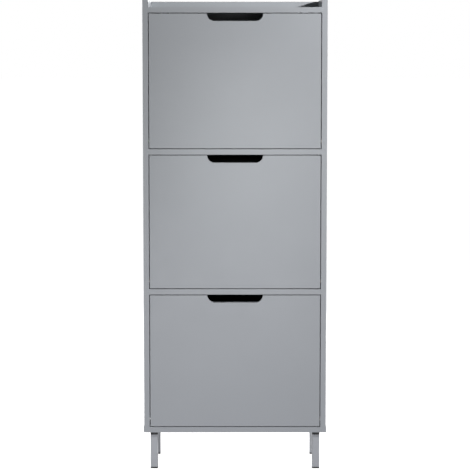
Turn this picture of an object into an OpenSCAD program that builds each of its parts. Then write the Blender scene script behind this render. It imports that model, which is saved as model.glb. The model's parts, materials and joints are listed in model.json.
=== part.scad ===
// Tall three-door tipping shoe cabinet on four square steel legs.
// +Z is up and the doors face -Y. The origin is on the floor, at the centre of the footprint.
// Each door tips out about steel pins near its lower edge and carries a two-row shoe bin.

/* [Carcass] */
// Width over the two side panels
cabinet_w = 500; // [440:5:620]
// Depth of the carcass, door faces to back edges
cabinet_d = 240; // [230:1:300]
// Height from the floor to the top of the side panels
cabinet_h = 1290; // [1230:5:1400]
// Thickness of every board and door
board_t = 15; // [15:1:18]
// How far the base board stands out past each side panel
base_overhang = 1.5; // [0.5:0.5:5]
// Height of the side panels above the top board
gallery_h = 20; // [12:1:40]
// How far the back rail's top edge stays below the side panels
rail_drop = 3; // [1:1:8]
// Full height of the back rail
rail_h = 87; // [75:1:120]
// Thickness of the hardboard back panel
back_t = 3; // [3:0.5:5]

/* [Legs] */
// Height of a leg with its block and its foot
leg_h = 105; // [80:5:150]
// Width of the square leg tube
leg_w = 20; // [20:1:30]
// Wall thickness of the leg tube
leg_wall = 1.5; // [1:0.25:2.5]
// Distance from the base board's edges to a leg
leg_inset = 18; // [10:1:40]
// Height of the plastic block between a leg tube and the base board
block_h = 10; // [6:0.5:14]
// Thickness of the plastic foot under a leg tube
foot_h = 4; // [2:0.5:8]

/* [Doors] */
// Gap between a door and the boards round it
door_gap = 2.2; // [2.2:0.1:4]
// Width of the finger cut-out at the door's top edge
handle_w = 152; // [100:2:200]
// Depth of the finger cut-out, which is also the radius of its lower corners
handle_depth = 20; // [15:1:30]
// Height of the pivot axis above the door's lower edge
pivot_rise = 20; // [18:1:30]
// Angle that a door tips out, in degrees
tip_angle = 45; // [40:1:48]

/* [Bins] */
// Thickness of the floor, partition and back of a bin
tray_t = 5; // [4:0.5:6]
// Thickness of the moulded bin cheeks
cheek_t = 4; // [3:0.5:6]
// Clearance between a cheek and the side panel
cheek_gap = 2; // [1.5:0.5:4]
// Depth of the bin from the pivot axis to the rear edge of the cheeks
bin_depth = 208; // [190:1:210]
// Height of the partition between the two shoe rows
partition_h = 130; // [80:1:130]

/* [Hidden] */
$fn = 64;
eps = 0.5;                    // how far a cutting shape runs past a face
clear = 0.05;                 // radial clearance of pins, pegs and plugs in their holes
levels = 3;
LEVEL_BOTTOM = 0;
LEVEL_MIDDLE = 1;
LEVEL_TOP = 2;
RIGHT = 1;
LEFT = -1;

// Colours
paint = "#a5a9ac";
tube_paint = "#a1a5a8";
black = "#17181a";
board_black = "#232426";
natural = "#e6e2d6";
beech = "#cfa777";
steel = "#b9bcc0";
zinc = "#a3a6aa";

// Carcass levels and faces
front_y = -cabinet_d / 2;
back_y = cabinet_d / 2;
side_x = cabinet_w / 2 - board_t;             // inner face of a side panel
base_w = cabinet_w + 2 * base_overhang;
base_z = leg_h;
floor_z = leg_h + board_t;                    // top of the base board
top_z = cabinet_h - gallery_h - board_t;      // underside of the top board
opening_h = (top_z - floor_z - (levels - 1) * board_t) / levels;
pitch = opening_h + board_t;
function opening_z(i) = floor_z + i * pitch;

// Back rail, back panel and its grooves
rail_top = cabinet_h - rail_drop;
rail_bottom = rail_top - rail_h;
rail_y = back_y - board_t;                    // front face of the rail
rail_mid_z = rail_bottom + 25;                // height of the rail's cam joints
panel_y = rail_y + 4.5;                       // front face of the back panel
groove_depth = 6;
groove_clear = 0.2;
panel_play = 0.5;                             // between the panel's edge and the groove's bottom
shelf_back = panel_y - groove_clear;          // rear edge of the dividers
wall_hole_r = 3;
wall_hole_x = side_x - 55;
wall_hole_z = rail_bottom + 33;

// Knock-down fittings
cam_inset = 24;
cam_r = 7.5;
cam_depth = 12.3;
cam_recess_w = 1.4;
cam_recess_l = 9;
cam_recess_depth = 1.6;
channel_r = 3.7;                              // passage for the cam bolt
bolt_r = 2.5;
bolt_grip = 10;                               // thread held by the next board
bolt_head_r = 3.2;
bolt_head_l = 3.5;
bolt_neck_r = 2;
dowel_r = 4;
dowel_l = 30;
dowel_grip = 11;
cam_ys = [-80, 70];
dowel_ys = [-48, 40];
rail_dowel_dz = 22;                           // from the rail's cam joint up to its dowel

// Legs
leg_x = base_w / 2 - leg_inset - leg_w / 2;
leg_y = cabinet_d / 2 - leg_inset - leg_w / 2;
leg_corner_r = 2;
plug_body_h = 16;
plug_play = 0.2;
stud_r = 3.9;
stud_hole_r = 4;
stud_in_plug = 12;
nut_r = 6;
nut_h = 12;
nut_lip_r = 8.5;
nut_lip_h = 1;

// Doors and their pivots, in the frame of a flap: origin on the pivot axis, y into the cabinet
door_w = 2 * side_x - 2 * door_gap;
door_h = opening_h - 2 * door_gap;
door_top = door_h - pivot_rise;
door_back = board_t / 2;
pivot_y = front_y + board_t / 2;
function pivot_z(i) = opening_z(i) + door_gap + pivot_rise;
ceiling = opening_h - door_gap - pivot_rise;  // underside of the board above the door
pin_r = 2.5;
pin_in_door = 25;
pin_in_bush = 10;
bush_r = 4;
bush_depth = 11;
bush_lip_r = 6;
bush_lip_h = 1;

// Stops that the door closes on
stop_w = 18;
stop_d = 12;
stop_h = 10;
stop_x = side_x - 47;
stop_clear = 0.3;
stop_peg_r = 2.5;
stop_peg_h = 9;

// Bin cheeks
cheek_x = side_x - cheek_gap - cheek_t;       // inner face of a cheek's plate
cheek_bottom = -6;
cheek_front_top = 300;
swing_r = ceiling - stop_h - 8;               // what turns inside stays within this radius
cheek_rear_top = sqrt(swing_r * swing_r - bin_depth * bin_depth) - 4;
cheek_dip = 34;                               // sag of the cheek's upper edge
cheek_rear_r = 14;                            // rounding of the lower rear corner
cheek_steps = 18;
rim_w = 3;
rim_h = 6;
flange_w = 20;
flange_t = 4;
rib_w = 3;
rib_h = 8;
rib_clear = 0.1;

// Limit pegs, which run in an arc slot of each cheek
peg_track_r = 190;
peg_start = 80;                               // angle of the peg above the y axis, door closed
peg_r = 4;
slot_r = 4.5;
peg_head_r = 6.5;
peg_head_h = 2.5;
peg_head_clear = 0.5;
peg_root_r = 2.5;
peg_root_l = 10;

// Bin boards
tray_x = cheek_x - rib_clear;                 // half length of a bin board
tray_bottom = 2;
tray_top = tray_bottom + tray_t;
tray_front = door_back + flange_t + 0.5;
back_board_y = bin_depth - rib_w - tray_t - rib_clear;
back_board_top = cheek_rear_top - 10;
partition_y = (back_board_y + tray_front - tray_t) / 2;
partition_top = tray_top + partition_h;
corner_r = 18;                                // rounding of the boards' upper corners

// Screws that hold a cheek's flange to the door
screw_r = 1.7;
screw_grip = 11;
screw_head_r = 3.5;
screw_head_h = 2;
screw_recess_w = 1;
screw_recess_l = 4;
screw_x = cheek_x - flange_w / 2;
screw_zs = [28, 112, 196, 280];

// ---------------------------------------------------------------- helpers

// A block given by its low corner and its high corner
module block(low, high) {
    translate(low) cube(high - low);
}

// A cylinder along +X, or along -X for a negative length
module x_rod(r, length) {
    rotate([0, length > 0 ? 90 : -90, 0]) cylinder(r = r, h = abs(length));
}

// A square prism, centred on Z, with round vertical corners
module round_post(width, r, height) {
    flat = width - 2 * r;
    translate([-flat / 2, -width / 2, 0]) cube([flat, width, height]);
    translate([-width / 2, -flat / 2, 0]) cube([width, flat, height]);
    for (x = [-1, 1], y = [-1, 1])
        translate([x * flat / 2, y * flat / 2, 0]) cylinder(r = r, h = height);
}

// Two crossed slots, cut downwards from z = 0
module cross_recess(width, length, depth) {
    for (turn = [0, 90])
        rotate([0, 0, turn])
            translate([-length / 2, -width / 2, -depth]) cube([length, width, depth + eps]);
}

// ---------------------------------------------------------------- knock-down joints

// Each joint is [place, turn]. Its own frame has x = 0 on the joint face, +x into the board that
// holds the cam bolt, and the cam opening at -z.
function shelf_joints(z, ys) =
    [for (side = [LEFT, RIGHT], y = ys) [[side * side_x, y, z], [0, 0, side == RIGHT ? 0 : 180]]];
function foot_joints(ys) =
    [for (side = [LEFT, RIGHT], y = ys)
        [[side * (side_x + board_t / 2), y, floor_z], [0, 90, side == RIGHT ? 0 : 180]]];
function rail_joints(z) =
    [for (side = [LEFT, RIGHT])
        [[side * side_x, rail_y + board_t / 2, z], [side * 90, 0, side == RIGHT ? 0 : 180]]];

top_mid = top_z + board_t / 2;
function divider_mid(i) = opening_z(i) - board_t / 2;
upper_mid = divider_mid(LEVEL_TOP);
lower_mid = divider_mid(LEVEL_MIDDLE);

shelf_cams = concat(shelf_joints(top_mid, cam_ys), shelf_joints(upper_mid, cam_ys),
                    shelf_joints(lower_mid, cam_ys));
shelf_dowels = concat(shelf_joints(top_mid, dowel_ys), shelf_joints(upper_mid, dowel_ys),
                      shelf_joints(lower_mid, dowel_ys));
all_cams = concat(shelf_cams, foot_joints(cam_ys), rail_joints(rail_mid_z));
all_dowels = concat(shelf_dowels, foot_joints(dowel_ys), rail_joints(rail_mid_z + rail_dowel_dz));

module at_joints(joints) {
    for (joint = joints) translate(joint[0]) rotate(joint[1]) children();
}

module cam_bore() {
    translate([-cam_inset, 0, -board_t / 2 - eps]) cylinder(r = cam_r + clear, h = cam_depth + eps);
    translate([-cam_inset, 0, 0]) x_rod(channel_r, cam_inset + eps);
    translate([-eps, 0, 0]) x_rod(bolt_r + clear, bolt_grip + 2 * eps);
}

module dowel_bore() {
    translate([dowel_grip - dowel_l - eps, 0, 0]) x_rod(dowel_r + clear, dowel_l + 2 * eps);
}

module cam_housing() {
    translate([-cam_inset, 0, -board_t / 2]) difference() {
        cylinder(r = cam_r, h = cam_depth);
        rotate([180, 0, 0]) cross_recess(cam_recess_w, cam_recess_l, cam_recess_depth);
        translate([-bolt_head_r, 0, board_t / 2]) x_rod(channel_r, cam_r + bolt_head_r + eps);
    }
}

module cam_bolt() {
    neck = cam_inset - bolt_head_l / 2;
    x_rod(bolt_r, bolt_grip);
    x_rod(bolt_neck_r, -neck);
    x_rod(bolt_head_r, -2);
    translate([-neck, 0, 0]) x_rod(bolt_head_r, -bolt_head_l);
}

module cam_housings() {
    color(zinc) at_joints(all_cams) cam_housing();
}

module cam_bolts() {
    color(steel) at_joints(all_cams) cam_bolt();
}

module wood_dowels() {
    color(beech) at_joints(all_dowels)
        translate([dowel_grip - dowel_l, 0, 0]) x_rod(dowel_r, dowel_l);
}

// ---------------------------------------------------------------- carcass

module side_panel(side) {
    low = [side == RIGHT ? side_x : -side_x - board_t, front_y, floor_z];
    color(paint) difference() {
        block(low, low + [board_t, cabinet_d, cabinet_h - floor_z]);
        panel_groove(side_x + groove_depth);
        at_joints(all_cams) cam_bore();
        at_joints(all_dowels) dowel_bore();
        for (i = [0 : levels - 1]) translate([0, pivot_y, pivot_z(i)]) {
            translate([side * (side_x - eps), 0, 0]) x_rod(bush_r + clear, side * (bush_depth + 2 * eps));
            translate([side * (side_x - eps), peg_y, peg_z])
                x_rod(peg_root_r + clear, side * (peg_root_l + 2 * eps));
        }
    }
}

// The space that the back panel's edges slide into
module panel_groove(half_w) {
    block([-half_w, panel_y - groove_clear, floor_z - groove_depth],
          [half_w, panel_y + back_t + groove_clear, rail_bottom + groove_depth]);
}

module shelf(z, rear) {
    color(paint) difference() {
        block([-side_x, front_y, z], [side_x, rear, z + board_t]);
        at_joints(shelf_cams) cam_bore();
        at_joints(shelf_dowels) dowel_bore();
        stop_holes(z);
    }
}

module stop_holes(z) {
    for (side = [LEFT, RIGHT])
        translate([side * stop_x, stop_mid_y, z - eps])
            cylinder(r = stop_peg_r + clear, h = stop_peg_h + 2 * eps);
}

module top_board() { shelf(top_z, rail_y); }
module divider_upper() { shelf(opening_z(LEVEL_TOP) - board_t, shelf_back); }
module divider_lower() { shelf(opening_z(LEVEL_MIDDLE) - board_t, shelf_back); }

module back_rail() {
    color(paint) difference() {
        block([-side_x, rail_y, rail_bottom], [side_x, back_y, rail_top]);
        panel_groove(side_x + eps);
        at_joints(rail_joints(rail_mid_z)) cam_bore();
        at_joints(rail_joints(rail_mid_z + rail_dowel_dz)) dowel_bore();
        for (side = [LEFT, RIGHT])
            translate([side * wall_hole_x, rail_y - eps, wall_hole_z])
                rotate([-90, 0, 0]) cylinder(r = wall_hole_r, h = board_t + 2 * eps);
    }
}

module base_board() {
    color(paint) difference() {
        block([-base_w / 2, front_y, base_z], [base_w / 2, back_y, floor_z]);
        panel_groove(side_x + groove_depth);
        at_joints(foot_joints(cam_ys)) cam_bore();
        at_joints(foot_joints(dowel_ys)) dowel_bore();
        at_legs() translate([0, 0, base_z - eps]) {
            cylinder(r = nut_r + clear, h = nut_h + 2 * eps);
            cylinder(r = nut_lip_r + clear, h = nut_lip_h + eps);
        }
    }
}

module back_panel() {
    half_w = side_x + groove_depth - panel_play;
    color(board_black)
        block([-half_w, panel_y, floor_z - groove_depth + panel_play],
              [half_w, panel_y + back_t, rail_bottom + groove_depth - panel_play]);
}

// ---------------------------------------------------------------- legs

module at_legs() {
    for (x = [-1, 1], y = [-1, 1]) translate([x * leg_x, y * leg_y, 0]) children();
}

module leg_tube(x, y) {
    inner = leg_w - 2 * leg_wall;
    color(tube_paint) translate([x * leg_x, y * leg_y, foot_h]) difference() {
        round_post(leg_w, leg_corner_r, leg_h - foot_h - block_h);
        translate([-inner / 2, -inner / 2, -eps]) cube([inner, inner, leg_h]);
    }
}

// The part of a block or a foot that presses into the tube, going down from z = 0
module plug_body() {
    width = leg_w - 2 * leg_wall - 2 * plug_play;
    translate([-width / 2, -width / 2, -plug_body_h]) cube([width, width, plug_body_h]);
}

module leg_block(x, y) {
    color(black) translate([x * leg_x, y * leg_y, leg_h - block_h]) difference() {
        union() {
            plug_body();
            round_post(leg_w, leg_corner_r, block_h);
        }
        translate([0, 0, -stud_in_plug - eps])
            cylinder(r = stud_hole_r, h = stud_in_plug + block_h + 2 * eps);
    }
}

module foot(x, y) {
    color(black) translate([x * leg_x, y * leg_y, 0]) {
        round_post(leg_w, leg_corner_r, foot_h);
        translate([0, 0, foot_h]) mirror([0, 0, 1]) plug_body();
    }
}

module leg_studs() {
    low = leg_h - block_h - stud_in_plug;
    color(steel) at_legs() translate([0, 0, low]) cylinder(r = stud_r, h = leg_h + nut_h - low);
}

module insert_nuts() {
    color(zinc) at_legs() translate([0, 0, base_z]) difference() {
        union() {
            cylinder(r = nut_r, h = nut_h);
            cylinder(r = nut_lip_r, h = nut_lip_h);
        }
        translate([0, 0, -eps]) cylinder(r = stud_hole_r, h = nut_h + 2 * eps);
    }
}

// ---------------------------------------------------------------- fittings on the side panels

// Where a limit peg stands, from the pivot axis
peg_y = peg_track_r * cos(peg_start);
peg_z = peg_track_r * sin(peg_start);
stop_mid_y = front_y + board_t + stop_clear + stop_d / 2;

module pivot_bushes(i) {
    color(natural) for (side = [LEFT, RIGHT])
        translate([side * side_x, pivot_y, pivot_z(i)]) difference() {
            union() {
                x_rod(bush_r, side * bush_depth);
                x_rod(bush_lip_r, -side * bush_lip_h);
            }
            translate([-side * (bush_lip_h + eps), 0, 0])
                x_rod(pin_r + clear, side * (bush_lip_h + bush_depth + 2 * eps));
        }
}

module limit_pegs(i) {
    shaft = side_x - cheek_x + peg_head_clear;
    color(black) for (side = [LEFT, RIGHT])
        translate([side * side_x, pivot_y + peg_y, pivot_z(i) + peg_z]) {
            x_rod(peg_root_r, side * peg_root_l);
            x_rod(peg_r, -side * shaft);
            translate([-side * shaft, 0, 0]) x_rod(peg_head_r, -side * peg_head_h);
        }
}

module door_stops(i) {
    color(black) for (side = [LEFT, RIGHT])
        translate([side * stop_x, stop_mid_y, opening_z(i) + opening_h]) {
            translate([-stop_w / 2, -stop_d / 2, -stop_h]) cube([stop_w, stop_d, stop_h]);
            cylinder(r = stop_peg_r, h = stop_peg_h);
        }
}

// ---------------------------------------------------------------- flaps

module at_pivot(i) {
    translate([0, pivot_y, pivot_z(i)]) children();
}

// The finger cut-out: straight sides, a flat bottom and two quarter-round corners
module finger_cutout() {
    flat = handle_w / 2 - handle_depth;
    translate([0, board_t / 2 + eps, door_top]) rotate([90, 0, 0]) {
        translate([-flat, -handle_depth, 0]) cube([2 * flat, handle_depth + eps, board_t + 2 * eps]);
        for (side = [LEFT, RIGHT])
            translate([side * flat, 0, 0]) cylinder(r = handle_depth, h = board_t + 2 * eps);
    }
}

module door(i) {
    color(paint) at_pivot(i) difference() {
        translate([-door_w / 2, -board_t / 2, -pivot_rise]) cube([door_w, board_t, door_h]);
        finger_cutout();
        for (side = [LEFT, RIGHT]) {
            translate([side * (door_w / 2 + eps), 0, 0])
                x_rod(pin_r + clear, -side * (pin_in_door + 2 * eps));
            for (z = screw_zs)
                translate([side * screw_x, door_back + eps, z])
                    rotate([90, 0, 0]) cylinder(r = screw_r + clear, h = screw_grip + 2 * eps);
        }
    }
}

// Height of the cheek's upper edge at a share t of the way from the door to the rear
function cheek_edge(t) =
    cheek_front_top + t * (cheek_rear_top - cheek_front_top) - cheek_dip * sin(180 * t);

// Side view of a cheek, drawn in from its edge by inset
function cheek_outline(inset) =
    let (front = door_back + inset, rear = bin_depth - inset, low = cheek_bottom + inset,
         r = cheek_rear_r - inset)
    concat([[front, low]],
           [for (a = [-90 : 15 : 0]) [rear - r + r * cos(a), low + r + r * sin(a)]],
           [for (k = [cheek_steps : -1 : 0])
               [front + k / cheek_steps * (rear - front), cheek_edge(k / cheek_steps) - inset]]);

// Turns a shape drawn in the side view so that it grows along +X from a plane
module from_side(x) {
    translate([x, 0, 0]) rotate([90, 0, 90]) children();
}

// The arc slot that the limit peg runs in
module peg_slot() {
    stop_angle = peg_start - tip_angle;
    depth = cheek_t + rim_h + 2 * eps;
    from_side(cheek_x - rim_h - eps) {
        rotate([0, 0, stop_angle]) rotate_extrude(angle = tip_angle)
            translate([peg_track_r - slot_r, 0]) square([2 * slot_r, depth]);
        for (a = [stop_angle, peg_start])
            rotate([0, 0, a]) translate([peg_track_r, 0, 0]) cylinder(r = slot_r, h = depth);
    }
}

// A rib on the inner face of a cheek, given in the side view
module rib(low, high) {
    block([cheek_x - rib_h, low[0], low[1]], [cheek_x + eps, high[0], high[1]]);
}

module cheek_body() {
    from_side(cheek_x) linear_extrude(cheek_t) polygon(cheek_outline(0));
    from_side(cheek_x - rim_h) linear_extrude(rim_h + eps) difference() {
        polygon(cheek_outline(0));
        polygon(cheek_outline(rim_w));
    }
    block([cheek_x - flange_w, door_back, cheek_bottom],
          [cheek_x + eps, door_back + flange_t, cheek_front_top - rim_w]);
    // Channels for the floor, the partition and the back of the bin
    gap = rib_clear;
    rib([tray_front, tray_bottom - gap - rib_w], [back_board_y + tray_t, tray_bottom - gap]);
    rib([tray_front, tray_top + gap], [partition_y - gap - rib_w, tray_top + gap + rib_w]);
    rib([partition_y + tray_t + gap + rib_w, tray_top + gap],
        [back_board_y - gap - rib_w, tray_top + gap + rib_w]);
    rib([partition_y - gap - rib_w, tray_top + gap], [partition_y - gap, partition_top]);
    rib([partition_y + tray_t + gap, tray_top + gap],
        [partition_y + tray_t + gap + rib_w, partition_top]);
    rib([back_board_y - gap - rib_w, tray_top + gap], [back_board_y - gap, back_board_top]);
    rib([back_board_y + tray_t + gap, tray_bottom], [bin_depth - eps, back_board_top]);
}

module cheek(i, side) {
    color(black) at_pivot(i) mirror([side == LEFT ? 1 : 0, 0, 0]) difference() {
        cheek_body();
        peg_slot();
        // Room for the boards' ends where the channels and the rim cross them
        block([cheek_x - flange_w, tray_front - clear, tray_bottom - rib_clear],
              [cheek_x, back_board_y + tray_t, tray_top + rib_clear]);
        block([cheek_x - flange_w, back_board_y - rib_clear, tray_bottom - rib_clear],
              [cheek_x, back_board_y + tray_t + rib_clear, cheek_rear_top + rim_w]);
        for (z = screw_zs)
            translate([screw_x, door_back - eps, z])
                rotate([-90, 0, 0]) cylinder(r = screw_r + 3 * clear, h = flange_t + 2 * eps);
    }
}

// An upright bin board with its two upper corners rounded
module upright(y, low, high) {
    at_corner = tray_x - corner_r;
    translate([0, y + tray_t, 0]) rotate([90, 0, 0]) {
        translate([-tray_x, low, 0]) cube([2 * tray_x, high - corner_r - low, tray_t]);
        translate([-at_corner, low, 0]) cube([2 * at_corner, high - low, tray_t]);
        for (side = [LEFT, RIGHT])
            translate([side * at_corner, high - corner_r, 0]) cylinder(r = corner_r, h = tray_t);
    }
}

module bin_floor(i) {
    color(board_black) at_pivot(i)
        block([-tray_x, tray_front, tray_bottom], [tray_x, back_board_y, tray_top]);
}

module bin_partition(i) {
    color(board_black) at_pivot(i) upright(partition_y, tray_top, partition_top);
}

module bin_back(i) {
    color(board_black) at_pivot(i) upright(back_board_y, tray_bottom, back_board_top);
}

module pivot_pins(i) {
    color(steel) at_pivot(i) for (side = [LEFT, RIGHT])
        translate([side * (door_w / 2 - pin_in_door), 0, 0])
            x_rod(pin_r, side * (pin_in_door + door_gap + pin_in_bush));
}

module cheek_screws(i) {
    color(steel) at_pivot(i) for (side = [LEFT, RIGHT], z = screw_zs)
        translate([side * screw_x, door_back + flange_t, z]) rotate([-90, 0, 0]) difference() {
            union() {
                cylinder(r = screw_head_r, h = screw_head_h);
                translate([0, 0, -flange_t - screw_grip]) cylinder(r = screw_r, h = flange_t + screw_grip);
            }
            translate([0, 0, screw_head_h])
                cross_recess(screw_recess_w, screw_recess_l, screw_head_h / 2);
        }
}

// ---------------------------------------------------------------- nodes

side_panel(LEFT);  // side_left
side_panel(RIGHT);  // side_right
top_board();
back_rail();
base_board();
divider_upper();
divider_lower();
back_panel();

leg_tube(-1, -1);  // leg_front_left
leg_tube(1, -1);  // leg_front_right
leg_tube(-1, 1);  // leg_rear_left
leg_tube(1, 1);  // leg_rear_right
leg_block(-1, -1);  // leg_block_front_left
leg_block(1, -1);  // leg_block_front_right
leg_block(-1, 1);  // leg_block_rear_left
leg_block(1, 1);  // leg_block_rear_right
foot(-1, -1);  // foot_front_left
foot(1, -1);  // foot_front_right
foot(-1, 1);  // foot_rear_left
foot(1, 1);  // foot_rear_right
leg_studs();
insert_nuts();
cam_housings();
cam_bolts();
wood_dowels();

pivot_bushes(LEVEL_TOP);  // pivot_bushes_top
pivot_bushes(LEVEL_MIDDLE);  // pivot_bushes_middle
pivot_bushes(LEVEL_BOTTOM);  // pivot_bushes_bottom
limit_pegs(LEVEL_TOP);  // limit_pegs_top
limit_pegs(LEVEL_MIDDLE);  // limit_pegs_middle
limit_pegs(LEVEL_BOTTOM);  // limit_pegs_bottom
door_stops(LEVEL_TOP);  // door_stops_top
door_stops(LEVEL_MIDDLE);  // door_stops_middle
door_stops(LEVEL_BOTTOM);  // door_stops_bottom

door(LEVEL_TOP);  // door_top
door(LEVEL_MIDDLE);  // door_middle
door(LEVEL_BOTTOM);  // door_bottom
cheek(LEVEL_TOP, LEFT);  // cheek_left_top
cheek(LEVEL_MIDDLE, LEFT);  // cheek_left_middle
cheek(LEVEL_BOTTOM, LEFT);  // cheek_left_bottom
cheek(LEVEL_TOP, RIGHT);  // cheek_right_top
cheek(LEVEL_MIDDLE, RIGHT);  // cheek_right_middle
cheek(LEVEL_BOTTOM, RIGHT);  // cheek_right_bottom
bin_floor(LEVEL_TOP);  // bin_floor_top
bin_floor(LEVEL_MIDDLE);  // bin_floor_middle
bin_floor(LEVEL_BOTTOM);  // bin_floor_bottom
bin_partition(LEVEL_TOP);  // bin_partition_top
bin_partition(LEVEL_MIDDLE);  // bin_partition_middle
bin_partition(LEVEL_BOTTOM);  // bin_partition_bottom
bin_back(LEVEL_TOP);  // bin_back_top
bin_back(LEVEL_MIDDLE);  // bin_back_middle
bin_back(LEVEL_BOTTOM);  // bin_back_bottom
pivot_pins(LEVEL_TOP);  // pivot_pins_top
pivot_pins(LEVEL_MIDDLE);  // pivot_pins_middle
pivot_pins(LEVEL_BOTTOM);  // pivot_pins_bottom
cheek_screws(LEVEL_TOP);  // cheek_screws_top
cheek_screws(LEVEL_MIDDLE);  // cheek_screws_middle
cheek_screws(LEVEL_BOTTOM);  // cheek_screws_bottom
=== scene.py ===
"""Looks of the shoe cabinet: finishes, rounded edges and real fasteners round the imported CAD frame."""

import json
import math

import bmesh
import bpy
from mathutils import Matrix, Vector

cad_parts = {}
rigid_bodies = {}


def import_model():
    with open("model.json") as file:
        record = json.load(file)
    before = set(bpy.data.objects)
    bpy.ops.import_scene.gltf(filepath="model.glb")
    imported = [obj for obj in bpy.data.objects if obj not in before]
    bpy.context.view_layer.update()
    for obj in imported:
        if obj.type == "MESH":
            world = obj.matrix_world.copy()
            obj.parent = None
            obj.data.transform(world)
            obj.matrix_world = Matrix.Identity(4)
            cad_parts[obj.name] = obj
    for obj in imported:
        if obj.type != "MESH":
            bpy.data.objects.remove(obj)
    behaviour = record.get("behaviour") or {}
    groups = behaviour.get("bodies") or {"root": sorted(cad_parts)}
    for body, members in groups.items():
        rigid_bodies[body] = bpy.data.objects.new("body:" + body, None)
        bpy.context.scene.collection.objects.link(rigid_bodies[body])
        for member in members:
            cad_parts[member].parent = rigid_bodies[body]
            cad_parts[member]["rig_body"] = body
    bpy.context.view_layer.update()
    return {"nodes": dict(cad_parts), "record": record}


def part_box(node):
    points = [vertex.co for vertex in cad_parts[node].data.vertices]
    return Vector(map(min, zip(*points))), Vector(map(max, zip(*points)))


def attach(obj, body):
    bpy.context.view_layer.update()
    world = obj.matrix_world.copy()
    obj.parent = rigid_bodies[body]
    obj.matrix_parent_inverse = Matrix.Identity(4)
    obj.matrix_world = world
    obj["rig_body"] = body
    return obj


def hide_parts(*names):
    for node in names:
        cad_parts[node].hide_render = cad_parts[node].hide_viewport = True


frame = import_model()

MM = 0.001
LEVELS = ("top", "middle", "bottom")
CUTOUT_DEPTH = 22 * MM  # a little more than the finger cut-out's depth


# ---------------------------------------------------------------- finishes


class Finish:
    """A procedural material on one Principled shader, with its patterns in the cabinet's own metres."""

    def __init__(self, name, color, roughness, **sockets):
        self.material = bpy.data.materials.new(name)
        self.material.use_nodes = True
        self.tree = self.material.node_tree
        self.shader = self.tree.nodes["Principled BSDF"]
        self.shader.inputs["Base Color"].default_value = (*color, 1)
        self.shader.inputs["Roughness"].default_value = roughness
        for socket, value in sockets.items():
            self.shader.inputs[socket.replace("_", " ")].default_value = value
        self.place = self.node("TexCoord").outputs["Object"]
        self.normal = None

    def node(self, kind, inputs=(), **settings):
        """Adds a shader node. An input is given as a value or as the socket that feeds it."""
        made = self.tree.nodes.new("ShaderNode" + kind)
        for name, value in settings.items():
            setattr(made, name, value)
        for key, value in dict(inputs).items():
            if isinstance(value, bpy.types.NodeSocket):
                self.tree.links.new(value, made.inputs[key])
            else:
                made.inputs[key].default_value = value
        return made

    def noise(self, size, detail=3.0, stretch=(1, 1, 1), roughness=0.5, warp=0.0):
        """Soft noise whose features are about `size` metres across, drawn out along the axes by `stretch`."""
        place = self.node("Mapping", {"Vector": self.place, "Scale": [1 / s for s in stretch]})
        return self.node(
            "TexNoise",
            {"Vector": place.outputs[0], "Scale": 1 / size, "Detail": detail,
             "Roughness": roughness, "Distortion": warp},
        ).outputs["Fac"]

    def cells(self, size, feature="F1"):
        """Cell pattern with cells about `size` metres across."""
        return self.node(
            "TexVoronoi", {"Vector": self.place, "Scale": 1 / size}, feature=feature
        ).outputs["Distance"]

    def spread(self, factor, low, high, start=0.3, end=0.7):
        """Maps the range start to end of a pattern on to low to high."""
        return self.node(
            "MapRange",
            {"Value": factor, "From Min": start, "From Max": end, "To Min": low, "To Max": high},
        ).outputs["Result"]

    def tint(self, factor, first, second):
        """Blends the colour from first to second with a pattern."""
        mix = self.node("Mix", {0: factor}, data_type="RGBA")
        mix.inputs[6].default_value = (*first, 1)
        mix.inputs[7].default_value = (*second, 1)
        return mix.outputs[2]

    def layer(self, factor, below, color):
        """Lays a colour over the colour below where a pattern is high."""
        mix = self.node("Mix", {0: factor, 6: below}, data_type="RGBA")
        mix.inputs[7].default_value = (*color, 1)
        return mix.outputs[2]

    def set(self, socket, pattern):
        """Feeds one of the shader's sockets with a pattern."""
        self.tree.links.new(pattern, self.shader.inputs[socket])

    def bump(self, height, strength, depth):
        """Adds relief of up to `depth` metres on top of the relief added before."""
        inputs = {"Height": height, "Strength": strength, "Distance": depth}
        if self.normal is not None:
            inputs["Normal"] = self.normal
        self.normal = self.node("Bump", inputs).outputs["Normal"]
        self.tree.links.new(self.normal, self.shader.inputs["Normal"])


def shade(color, factor):
    """The colour made darker or lighter by a factor."""
    return tuple(min(1.0, c * factor) for c in color)


LACQUER = (0.352, 0.373, 0.392)
POWDER_COAT = (0.422, 0.440, 0.463)
BLACK_PLASTIC = (0.0135, 0.0140, 0.0150)
BLACK_BOARD = (0.0210, 0.0215, 0.0230)
FIBREBOARD = (0.300, 0.190, 0.100)
SCREEN_SCALE = 160.0  # wave texture scale that gives wires about 2 mm apart


def lacquer():
    """Satin grey lacquer on fibreboard: fine orange peel, slight clouding and uneven sheen."""
    look = Finish("satin_grey_lacquer", LACQUER, 0.42, IOR=1.48)
    clouds = look.noise(0.16, 4)
    specks = look.noise(0.0018, 2)
    color = look.tint(look.spread(clouds, 0, 1), shade(LACQUER, 0.985), shade(LACQUER, 1.015))
    color = look.layer(look.spread(specks, 0, 0.35, 0.62, 0.75), color, shade(LACQUER, 0.93))
    look.set("Base Color", color)
    look.set("Roughness", look.spread(look.noise(0.045, 4), 0.38, 0.46))
    look.bump(look.noise(0.030, 2), 0.25, 0.06 * MM)
    look.bump(look.noise(0.0016, 2), 0.7, 0.05 * MM)
    return look.material


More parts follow.
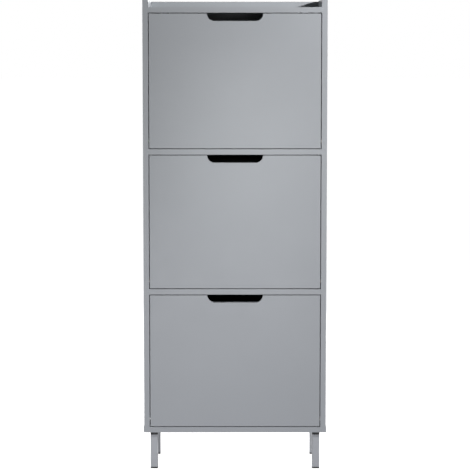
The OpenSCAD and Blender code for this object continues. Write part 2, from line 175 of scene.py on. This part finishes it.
def lacquered_edge():
    """The same lacquer on the rounded arrises, where it is rubbed a little thinner and shinier."""
    look = Finish("satin_grey_lacquer_edge", LACQUER, 0.36, IOR=1.48)
    rubbed = look.spread(look.noise(0.012, 5, roughness=0.7), 0, 1, 0.45, 0.75)
    look.set("Base Color", look.tint(rubbed, shade(LACQUER, 1.02), shade(LACQUER, 1.14)))
    look.set("Roughness", look.spread(rubbed, 0.40, 0.30, 0, 1))
    look.bump(look.noise(0.0016, 2), 0.6, 0.04 * MM)
    return look.material


def bare_fibreboard():
    """Cut fibreboard inside the bores, pockets and grooves."""
    look = Finish("bare_fibreboard", FIBREBOARD, 0.85)
    fibres = look.noise(0.0012, 6, roughness=0.75)
    dark, light = shade(FIBREBOARD, 0.72), shade(FIBREBOARD, 1.2)
    look.set("Base Color", look.tint(look.spread(fibres, 0, 1), dark, light))
    look.bump(fibres, 0.6, 0.12 * MM)
    return look.material


def powder_coat():
    """Satin powder coat on the steel leg tubes, with its fine pebbled skin."""
    look = Finish("grey_powder_coat", POWDER_COAT, 0.40, IOR=1.5)
    clouds = look.noise(0.05, 3)
    dark, light = shade(POWDER_COAT, 0.97), shade(POWDER_COAT, 1.03)
    look.set("Base Color", look.tint(look.spread(clouds, 0, 1), dark, light))
    look.set("Roughness", look.spread(look.noise(0.02, 3), 0.36, 0.45))
    look.bump(look.noise(0.0011, 3), 0.8, 0.06 * MM)
    return look.material


def moulded_plastic():
    """Black moulded plastic with a fine spark-eroded grain."""
    look = Finish("black_moulded_plastic", BLACK_PLASTIC, 0.48, IOR=1.38)
    clouds = look.noise(0.04, 3)
    dark, light = shade(BLACK_PLASTIC, 0.85), shade(BLACK_PLASTIC, 1.3)
    look.set("Base Color", look.tint(look.spread(clouds, 0, 1), dark, light))
    look.set("Roughness", look.spread(look.noise(0.015, 4), 0.42, 0.56))
    look.bump(look.cells(0.0009), 0.45, 0.04 * MM)
    look.bump(look.noise(0.0005, 2), 0.3, 0.02 * MM)
    return look.material


def melamine():
    """Matt black melamine on the bin boards, with a shallow pore emboss along the board."""
    look = Finish("black_melamine", BLACK_BOARD, 0.55, IOR=1.4)
    pores = look.noise(0.0009, 4, stretch=(14, 1.4, 1.4), roughness=0.6)
    dust = look.noise(0.035, 5, roughness=0.65)
    dust_color = (0.09, 0.088, 0.084)
    color = look.tint(look.spread(pores, 0, 1), shade(BLACK_BOARD, 0.75), shade(BLACK_BOARD, 1.25))
    color = look.layer(look.spread(dust, 0, 0.12, 0.5, 0.8), color, dust_color)
    look.set("Base Color", color)
    look.set("Roughness", look.spread(dust, 0.48, 0.64))
    look.bump(pores, 0.5, 0.05 * MM)
    return look.material


def hardboard(lacquered):
    """Hardboard: its black lacquered face, or its raw brown back with the wire screen's print."""
    if lacquered:
        look = Finish("hardboard_black_face", shade(BLACK_BOARD, 0.8), 0.6)
        fibres = look.noise(0.002, 5, stretch=(3, 1, 1))
        dark, light = shade(BLACK_BOARD, 0.65), shade(BLACK_BOARD, 1.05)
        look.set("Base Color", look.tint(look.spread(fibres, 0, 1), dark, light))
        look.bump(fibres, 0.3, 0.04 * MM)
        return look.material
    brown = (0.175, 0.098, 0.048)
    look = Finish("hardboard_raw_back", brown, 0.82)
    fibres = look.noise(0.0024, 7, stretch=(2.2, 1, 1), roughness=0.72, warp=0.6)
    clouds = look.noise(0.11, 4)
    color = look.tint(look.spread(fibres, 0, 1), shade(brown, 0.68), shade(brown, 1.42))
    color = look.layer(look.spread(clouds, 0, 0.35), color, shade(brown, 0.82))
    look.set("Base Color", color)
    for direction in "XZ":
        inputs = {"Vector": look.place, "Scale": SCREEN_SCALE}
        wires = look.node("TexWave", inputs, bands_direction=direction)
        look.bump(wires.outputs["Fac"], 0.8, 0.16 * MM)
    look.bump(fibres, 0.5, 0.12 * MM)
    return look.material


def plated_steel():
    """Bright zinc plating with fine scratches and dull patches."""
    color = (0.60, 0.61, 0.62)
    look = Finish("zinc_plated_steel", color, 0.26, Metallic=1.0)
    patches = look.noise(0.004, 4)
    look.set("Base Color", look.tint(look.spread(patches, 0, 1), shade(color, 0.86), shade(color, 1.08)))
    look.set("Roughness", look.spread(patches, 0.20, 0.36))
    look.bump(look.noise(0.0004, 2, stretch=(1, 1, 6)), 0.25, 0.01 * MM)
    return look.material


def cast_zinc():
    """Dull die-cast zinc, mottled where the melt chilled."""
    color = (0.43, 0.44, 0.46)
    look = Finish("die_cast_zinc", color, 0.45, Metallic=1.0)
    chill = look.noise(0.003, 5, roughness=0.65)
    look.set("Base Color", look.tint(look.spread(chill, 0, 1), shade(color, 0.78), shade(color, 1.12)))
    look.set("Roughness", look.spread(chill, 0.38, 0.58))
    look.bump(chill, 0.4, 0.04 * MM)
    return look.material


def beech():
    """Bare turned beech with its growth rings and short dark flecks."""
    pale = (0.60, 0.38, 0.21)
    look = Finish("bare_beech", pale, 0.6)
    rings = look.noise(0.0022, 5, stretch=(9, 1, 1), roughness=0.6, warp=0.4)
    flecks = look.noise(0.0008, 2, stretch=(3, 1, 1))
    color = look.tint(look.spread(rings, 0, 1), shade(pale, 0.78), shade(pale, 1.14))
    color = look.layer(look.spread(flecks, 0, 0.7, 0.64, 0.74), color, shade(pale, 0.45))
    look.set("Base Color", color)
    look.bump(rings, 0.4, 0.05 * MM)
    return look.material


def nylon():
    """Natural nylon, cream, waxy and faintly translucent."""
    cream = (0.74, 0.71, 0.62)
    look = Finish("natural_nylon", cream, 0.42, Subsurface_Weight=0.15, Subsurface_Scale=0.002)
    clouds = look.noise(0.004, 4)
    look.set("Base Color", look.tint(look.spread(clouds, 0, 1), shade(cream, 0.9), shade(cream, 1.04)))
    look.bump(look.noise(0.0006, 3), 0.25, 0.02 * MM)
    return look.material


FINISHES = {
    "painted_board": lacquer(),
    "painted_steel": powder_coat(),
    "black_plastic": moulded_plastic(),
    "bin_board": melamine(),
    "hardboard": hardboard(lacquered=True),
    "steel": plated_steel(),
    "zinc": cast_zinc(),
    "beech": beech(),
    "nylon": nylon(),
}
EDGE = lacquered_edge()
FIBRE = bare_fibreboard()
RAW_BACK = hardboard(lacquered=False)


# ---------------------------------------------------------------- CAD nodes


def slot_of(node):
    """The material slot that the record gives a node."""
    parts = frame["record"]["subparts"]
    return next(part["material_slot"] for part in parts if part["node"] == node)


SAME_POINT = 0.002 * MM
SHARP_EDGE = math.radians(40)


def soften(piece, width, segments=3, edge_slot=-1):
    """Rounds a piece's sharp edges with modifiers, which leave its own mesh alone."""
    weld = piece.modifiers.new("weld", "WELD")
    weld.merge_threshold = SAME_POINT
    flat = piece.modifiers.new("flat", "DECIMATE")
    flat.decimate_type = "DISSOLVE"
    flat.angle_limit = math.radians(0.5)
    flat.delimit = {"MATERIAL"}
    edge = piece.modifiers.new("edge", "BEVEL")
    edge.width = width
    edge.segments = segments
    edge.limit_method = "ANGLE"
    edge.angle_limit = SHARP_EDGE
    edge.miter_outer = "MITER_ARC"
    edge.material = edge_slot
    normals = piece.modifiers.new("normals", "WEIGHTED_NORMAL")
    normals.keep_sharp = True
    normals.weight = 100


def paint(piece, *materials):
    """Gives a piece these materials, in the order of its material slots."""
    piece.data.materials.clear()
    for material in materials:
        piece.data.materials.append(material)


def inside(point, low, high, skin):
    """Whether a point is inside a box, deeper than a skin."""
    return all(low[i] + skin < point[i] < high[i] - skin for i in range(3))


def bare_the_bores(node, slot):
    """Gives the walls of a board's bores and grooves a material slot, but not a door's finger cut-out."""
    low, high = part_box(node)
    if node.startswith("door"):
        high.z -= CUTOUT_DEPTH
    for face in frame["nodes"][node].data.polygons:
        if inside(face.center, low, high, 0.5 * MM):
            face.material_index = slot


# the width of each board's softened arris, in millimetres
BOARD_EDGES = {
    "side_left": 0.6, "side_right": 0.6, "base_board": 0.6, "back_rail": 0.4, "top_board": 0.3,
    "divider_upper": 0.3, "divider_lower": 0.3, "door_top": 0.5, "door_middle": 0.5, "door_bottom": 0.5,
}
ARRIS_SLOT, BORE_SLOT = 1, 2


def dress_boards():
    """Lacquers the boards, with rubbed arrises and bare fibreboard in the bores."""
    for node, width in BOARD_EDGES.items():
        piece = frame["nodes"][node]
        paint(piece, FINISHES["painted_board"], EDGE, FIBRE)
        bare_the_bores(node, BORE_SLOT)
        soften(piece, width * MM, edge_slot=ARRIS_SLOT)


def dress_back_panel():
    """The panel's front is lacquered black. Its back and its edges are raw."""
    piece = frame["nodes"]["back_panel"]
    paint(piece, FINISHES["hardboard"], RAW_BACK)
    for face in piece.data.polygons:
        face.material_index = 1 if face.normal.y > -0.5 else 0
    soften(piece, 0.3 * MM, segments=2)


# the edge width of the fittings whose names start so, in millimetres
FITTING_EDGES = {
    "leg_front": 0.25, "leg_rear": 0.25, "leg_block": 0.4, "foot": 0.6, "cheek_left": 0.5,
    "cheek_right": 0.5, "limit_pegs": 0.4, "door_stops": 0.8, "bin": 0.4, "pivot_bushes": 0.25,
    "pivot_pins": 0.3, "cam_housings": 0.3,
}


def dress_fittings():
    """Gives the legs, bins, pegs, stops, pivots and cams the finish that the record names."""
    for stem, width in FITTING_EDGES.items():
        for node in sorted(frame["nodes"]):
            if node.startswith(stem):
                piece = frame["nodes"][node]
                paint(piece, FINISHES[slot_of(node)])
                soften(piece, width * MM, segments=2)


# ---------------------------------------------------------------- fasteners


Y_AXIS, Z_AXIS = 1, 2


def solids_of(node):
    """The corner points of each separate solid of a CAD node, in a fixed order."""
    mesh = bmesh.new()
    mesh.from_mesh(frame["nodes"][node].data)
    bmesh.ops.remove_doubles(mesh, verts=mesh.verts, dist=SAME_POINT)
    solids = []
    waiting = set(mesh.verts)
    while waiting:
        group = [waiting.pop()]
        for vertex in group:
            for edge in vertex.link_edges:
                other = edge.other_vert(vertex)
                if other in waiting:
                    waiting.remove(other)
                    group.append(other)
        solids.append([vertex.co.copy() for vertex in group])
    mesh.free()
    return sorted(solids, key=lambda points: [round(v, 5) for v in corners(points)[0]])


def corners(points):
    """The lowest and highest corner of the points' box."""
    return [Vector([pick(p[i] for p in points) for i in range(3)]) for pick in (min, max)]


def long_axis(points):
    """The axis along which a solid is longest."""
    low, high = corners(points)
    size = high - low
    return max(range(3), key=lambda axis: size[axis])


def narrow_end(points, axis):
    """The direction along an axis, +1 or -1, in which a solid's end face is the smaller one."""
    low, high = corners(points)
    middle = (low + high) / 2
    reach = {}
    for side, level in ((-1, low[axis]), (1, high[axis])):
        face = [p for p in points if abs(p[axis] - level) < 0.01 * MM]
        reach[side] = max((p - middle).cross(unit(axis)).length for p in face)
    return -1 if reach[-1] < reach[1] else 1


def unit(axis, sign=1):
    """The unit vector along an axis, or against it where the sign is -1."""
    return Vector([sign if i == axis else 0 for i in range(3)])


def standing(points, axis, sign=1):
    """The place of a shape made along +Z, so that it points along an axis and starts at a solid's end."""
    low, high = corners(points)
    start = (low + high) / 2
    start[axis] = (low if sign > 0 else high)[axis]
    turn = unit(Z_AXIS).rotation_difference(unit(axis, sign)).to_matrix().to_4x4()
    return Matrix.Translation(start) @ turn


def turned(outline, segments=32, wobble=None, hollow=False):
    """A turned body along +Z from (radius, height) points. A hollow outline comes back down the bore."""
    mesh = bmesh.new()
    rings = []
    for radius, height in outline:
        ring = []
        for k in range(segments):
            angle = 2 * math.pi * k / segments
            reach = wobble(radius, angle, height) if wobble else radius
            ring.append(mesh.verts.new((reach * math.cos(angle), reach * math.sin(angle), height)))
        rings.append(ring)
    pairs = list(zip(rings, rings[1:]))
    if hollow:
        pairs.append((rings[-1], rings[0]))
    else:
        mesh.faces.new(rings[0])
        mesh.faces.new(rings[-1])
    for below, above in pairs:
        for k in range(segments):
            after = (k + 1) % segments
            mesh.faces.new((below[k], below[after], above[after], above[k]))
    bmesh.ops.recalc_face_normals(mesh, faces=mesh.faces)
    return mesh


def ridge(height, angle, pitch):
    """The height of a thread's ridge, from 0 in the groove to 1 on the crest."""
    turn = (height / pitch - angle / (2 * math.pi)) % 1
    return max(0.0, 1 - 1.4 * abs(2 * turn - 1))


def thread(core, pitch, start, end):
    """How a thread varies the radius between two heights. Outside them, and at the core, the radius stays."""

    def wobble(radius, angle, height):
        inside_thread = min(height - start, end - height)
        if inside_thread < -0.001 * MM:
            return radius
        run_out = min(1.0, inside_thread / (0.6 * pitch))
        return core + (radius - core) * ridge(height, angle, pitch) * run_out

    return wobble


def ramp(radius, start, end, pitch, steps=8):
    """Outline points for a threaded stretch, with the given number of steps to each turn."""
    count = math.ceil((end - start) / pitch * steps)
    return [(radius, start + (end - start) * k / count) for k in range(count + 1)]


def bar(size, place):
    """A box mesh of a given size, with its middle at a place."""
    mesh = bmesh.new()
    bmesh.ops.create_cube(mesh, size=1, matrix=place @ Matrix.Diagonal((*size, 1)))
    return mesh


def carved(mesh, cutters):
    """The mesh less the cutters, by boolean modifiers on a passing object."""
    things = []
    for shape in [mesh, *cutters]:
        data = bpy.data.meshes.new("passing")
        shape.to_mesh(data)
        shape.free()
        thing = bpy.data.objects.new("passing", data)
        bpy.context.scene.collection.objects.link(thing)
        things.append(thing)
    for cutter in things[1:]:
        cut = things[0].modifiers.new("cut", "BOOLEAN")
        cut.object = cutter
        cut.solver = "EXACT"
    bpy.context.view_layer.update()
    left = bmesh.new()
    left.from_object(things[0], bpy.context.evaluated_depsgraph_get())
    for thing in things:
        bpy.data.meshes.remove(thing.data)
    return left


def placed(name, mesh, finish, places, node):
    """One piece with the mesh at each place. It stands for a CAD node and rides on the same body."""
    whole = bmesh.new()
    one = bpy.data.meshes.new("one")
    mesh.to_mesh(one)
    for place in places:
        before = len(whole.verts)
        whole.from_mesh(one)
        whole.verts.ensure_lookup_table()
        bmesh.ops.transform(whole, matrix=place, verts=whole.verts[before:])
    bpy.data.meshes.remove(one)
    mesh.free()
    data = bpy.data.meshes.new(name)
    whole.to_mesh(data)
    whole.free()
    for face in data.polygons:
        face.use_smooth = True
    data.set_sharp_from_angle(angle=math.radians(32))
    data.materials.append(FINISHES[finish])
    piece = bpy.data.objects.new(name, data)
    bpy.context.scene.collection.objects.link(piece)
    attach(piece, frame["nodes"][node]["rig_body"])
    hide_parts(node)


def make_leg_studs():
    """Threaded studs that join each leg block to the base board."""
    solids = solids_of("leg_studs")
    low, high = corners(solids[0])
    radius = (high.x - low.x) / 2
    length = high.z - low.z
    pitch = 1.25 * MM
    core = radius - 0.62 * pitch
    tip = core - 0.3 * MM
    start, end = 0.4 * MM, length - 0.4 * MM
    outline = [(tip, 0), *ramp(radius, start, end, pitch), (tip, length)]
    mesh = turned(outline, 28, thread(core, pitch, start, end))
    places = [standing(points, Z_AXIS) for points in solids]
    placed("threaded_leg_studs", mesh, "steel", places, "leg_studs")


def make_insert_nuts():
    """Flanged insert nuts with a coarse wood thread outside and two driving notches in the flange."""
    solids = solids_of("insert_nuts")
    low, high = corners(solids[0])
    flange = (high.x - low.x) / 2
    length = high.z - low.z
    body, bore, rim, chamfer = 6 * MM, 4 * MM, 1 * MM, 0.3 * MM
    core, pitch = body - 0.9 * MM, 2.5 * MM
    start, end = rim + 0.01 * MM, length - 1.5 * MM
    outline = [
        (bore + 0.5 * MM, 0), (flange - chamfer, 0), (flange, chamfer), (flange, rim - 0.2 * MM),
        (flange - chamfer, rim), *ramp(body, start, end, pitch, steps=10),
        (body - 1.4 * MM, length), (bore, length), (bore, 0.5 * MM),
    ]
    mesh = turned(outline, 40, thread(core, pitch, start, end), hollow=True)
    notch = (3 * MM, 2.4 * MM, 1.6 * MM)
    notches = [bar(notch, Matrix.Translation((side * flange, 0, 0))) for side in (-1, 1)]
    places = [standing(points, Z_AXIS) for points in solids]
    placed("flanged_insert_nuts", carved(mesh, notches), "zinc", places, "insert_nuts")


def make_cam_bolts():
    """Cam bolts: a ball head, a thin neck, a collar and a coarse thread that bites into the next board."""
    solids = solids_of("cam_bolts")
    axes = [long_axis(points) for points in solids]
    low, high = corners(solids[0])
    length = (high - low)[axes[0]]
    head, neck, grip, collar = 3.2 * MM, 2 * MM, 10 * MM, 2 * MM
    crest, core, pitch = 2.5 * MM, 1.75 * MM, 2.1 * MM
    joint, end = length - grip, length - 2 * MM
    outline = [
        (1.5 * MM, 0), (2.7 * MM, 0.3 * MM), (head, 1.2 * MM), (head, 2.3 * MM), (2.6 * MM, 3.3 * MM),
        (neck, 3.6 * MM), (neck, joint - collar - 0.6 * MM), (head, joint - collar),
        (head, joint - 0.2 * MM), *ramp(crest, joint, end, pitch, steps=10), (0.9 * MM, length),
    ]
    mesh = turned(outline, 24, thread(core, pitch, joint, end))
    places = [standing(points, axis, narrow_end(points, axis)) for points, axis in zip(solids, axes)]
    placed("threaded_cam_bolts", mesh, "steel", places, "cam_bolts")


def make_cheek_screws(level):
    """Pan-head screws with a cross recess and a tapered point, which hold a cheek's flange to the door."""
    node = f"cheek_screws_{level}"
    solids = solids_of(node)
    low, high = corners(solids[0])
    length = high.y - low.y
    crest, core, pitch, taper = 1.7 * MM, 1.15 * MM, 1.35 * MM, 3.5 * MM
    shank, head, rise, rim = 1.4 * MM, 3.5 * MM, 2 * MM, 0.5 * MM
    seat = length - rise
    neck = seat - 1 * MM
    point = [(crest * (0.25 + 0.75 * k / 12), taper * k / 12) for k in range(1, 12)]
    dome = []
    for degrees in (0, 20, 40, 58, 72, 82):
        slope = math.radians(degrees)
        dome.append((head * math.cos(slope), seat + rim + (rise - rim) * math.sin(slope)))
    outline = [
        (0.15 * MM, 0), *point, *ramp(crest, taper, neck, pitch), (shank, neck + 0.1 * MM),
        (shank, seat), (head - 0.2 * MM, seat), *dome,
    ]
    straight = thread(core, pitch, taper, neck)

    def tapered(radius, angle, height):
        if height < taper:
            return radius * (core / crest + (1 - core / crest) * ridge(height, angle, pitch))
        return straight(radius, angle, height)

    groove = (4.2 * MM, 0.9 * MM, 2.4 * MM)
    top = Matrix.Translation((0, 0, length))
    recess = [bar(groove, top @ Matrix.Rotation(turn, 4, "Z")) for turn in (0, math.pi / 2)]
    places = []
    for k, points in enumerate(solids):
        places.append(standing(points, Y_AXIS) @ Matrix.Rotation(0.7 * k, 4, "Z"))
    mesh = carved(turned(outline, 24, tapered), recess)
    placed(f"cross_head_screws_{level}", mesh, "steel", places, node)


def make_dowels():
    """Beech dowels with pressed flutes and chamfered ends."""
    solids = solids_of("wood_dowels")
    axes = [long_axis(points) for points in solids]
    low, high = corners(solids[0])
    length = (high - low)[axes[0]]
    radius, chamfer, flutes, depth = 3.95 * MM, 1 * MM, 16, 0.05
    tip = radius - chamfer
    outline = [(tip, 0), (radius, chamfer), (radius, length - chamfer), (tip, length)]

    def fluted(reach, angle, height):
        return reach * (1 - depth * (0.5 + 0.5 * math.cos(flutes * angle)) ** 2)

    places = [standing(points, axis) for points, axis in zip(solids, axes)]
    placed("fluted_dowels", turned(outline, 96, fluted), "beech", places, "wood_dowels")


# ---------------------------------------------------------------- stage


CAMERA_PLACE = Vector((0, -5.45, 1.22))
CAMERA_PITCH = math.radians(6.08)
LENS = 150.5


def make_camera():
    """A long lens straight in front, just below the cabinet's top and tilted down a little."""
    data = bpy.data.cameras.new("camera")
    data.lens = LENS
    data.sensor_width = 36
    camera = bpy.data.objects.new("camera", data)
    camera.location = CAMERA_PLACE
    camera.rotation_euler = (math.pi / 2 - CAMERA_PITCH, 0, 0)
    bpy.context.scene.collection.objects.link(camera)
    bpy.context.scene.camera = camera


def softbox(name, place, target, size, power, spread=180, color=(1, 1, 1)):
    """A rectangular area light of a width and a height, which faces a point."""
    data = bpy.data.lights.new(name, "AREA")
    data.shape = "RECTANGLE"
    data.size, data.size_y = size
    data.energy = power
    data.spread = math.radians(spread)
    data.color = color
    light = bpy.data.objects.new(name, data)
    light.location = place
    light.rotation_euler = (Vector(target) - Vector(place)).to_track_quat("-Z", "Y").to_euler()
    light.visible_camera = False
    bpy.context.scene.collection.objects.link(light)
    return light


WARM = (1.0, 0.985, 0.997)
COOL = (0.956, 0.953, 1.0)
LIT_BY_WORLD = 0.015


def make_lights():
    """A compact key at the front right, weak fills from ahead, and boxes for the sides, back and top."""
    key = softbox(
        "key", (2.45, -2.05, 1.95), (0.36, -0.12, 1.35), (0.16, 0.16), 16.3, spread=60, color=WARM
    )
    key.visible_glossy = False
    softbox("pool", (0.085, -1.0, 1.1), (-0.01, -0.12, 0.8), (0.3, 0.3), 0.226, spread=51)
    softbox(
        "low_fill", (-0.4, -1.95, 0.42), (0.07, -0.12, 0), (1.43, 0.15), 2.68, spread=60, color=COOL
    )
    softbox("left_side", (-2.2, 0.9, 0.7), (-0.25, 0, 0.65), (0.8, 1.0), 27)
    softbox("right_side", (2.2, 0.9, 0.7), (0.25, 0, 0.65), (0.8, 1.0), 16)
    softbox("back", (0.6, 2.6, 1.2), (0, 0.12, 0.65), (1.2, 1.4), 30)
    softbox("top", (-0.2, 1.0, 3.0), (0, 0, 1.28), (0.9, 0.9), 24)


def make_world():
    """White for the camera, and nearly dark for the light that the object receives."""
    world = bpy.data.worlds.new("studio")
    world.use_nodes = True
    bpy.context.scene.world = world
    tree = world.node_tree
    tree.nodes.clear()
    path = tree.nodes.new("ShaderNodeLightPath")
    seen = tree.nodes.new("ShaderNodeBackground")
    seen.inputs["Color"].default_value = (1, 1, 1, 1)
    lit = tree.nodes.new("ShaderNodeBackground")
    lit.inputs["Color"].default_value = (1, 1, 1, 1)
    lit.inputs["Strength"].default_value = LIT_BY_WORLD
    mix = tree.nodes.new("ShaderNodeMixShader")
    out = tree.nodes.new("ShaderNodeOutputWorld")
    tree.links.new(path.outputs["Is Camera Ray"], mix.inputs[0])
    tree.links.new(lit.outputs[0], mix.inputs[1])
    tree.links.new(seen.outputs[0], mix.inputs[2])
    tree.links.new(mix.outputs[0], out.inputs["Surface"])


def make_floor():
    """A plain pale floor that merges with the white background away from the object."""
    mesh = bmesh.new()
    bmesh.ops.create_grid(mesh, x_segments=1, y_segments=1, size=40)
    data = bpy.data.meshes.new("floor")
    mesh.to_mesh(data)
    mesh.free()
    floor = bpy.data.objects.new("floor", data)
    bpy.context.scene.collection.objects.link(floor)
    look = Finish("pale_floor", (0.6, 0.6, 0.6), 0.9, Specular_IOR_Level=0.0)
    look.shader.inputs["Emission Color"].default_value = (1, 1, 1, 1)
    distance = look.node("VectorMath", {0: look.place}, operation="LENGTH").outputs["Value"]
    look.set("Emission Strength", look.spread(distance, 0.93, 1.0, 0.5, 1.6))
    data.materials.append(look.material)
    floor.visible_diffuse = False


dress_boards()
dress_back_panel()
dress_fittings()
make_leg_studs()
make_insert_nuts()
make_cam_bolts()
make_dowels()
for level in LEVELS:
    make_cheek_screws(level)
make_camera()
make_world()
make_lights()
make_floor()
bpy.context.scene.view_settings.view_transform = "Standard"
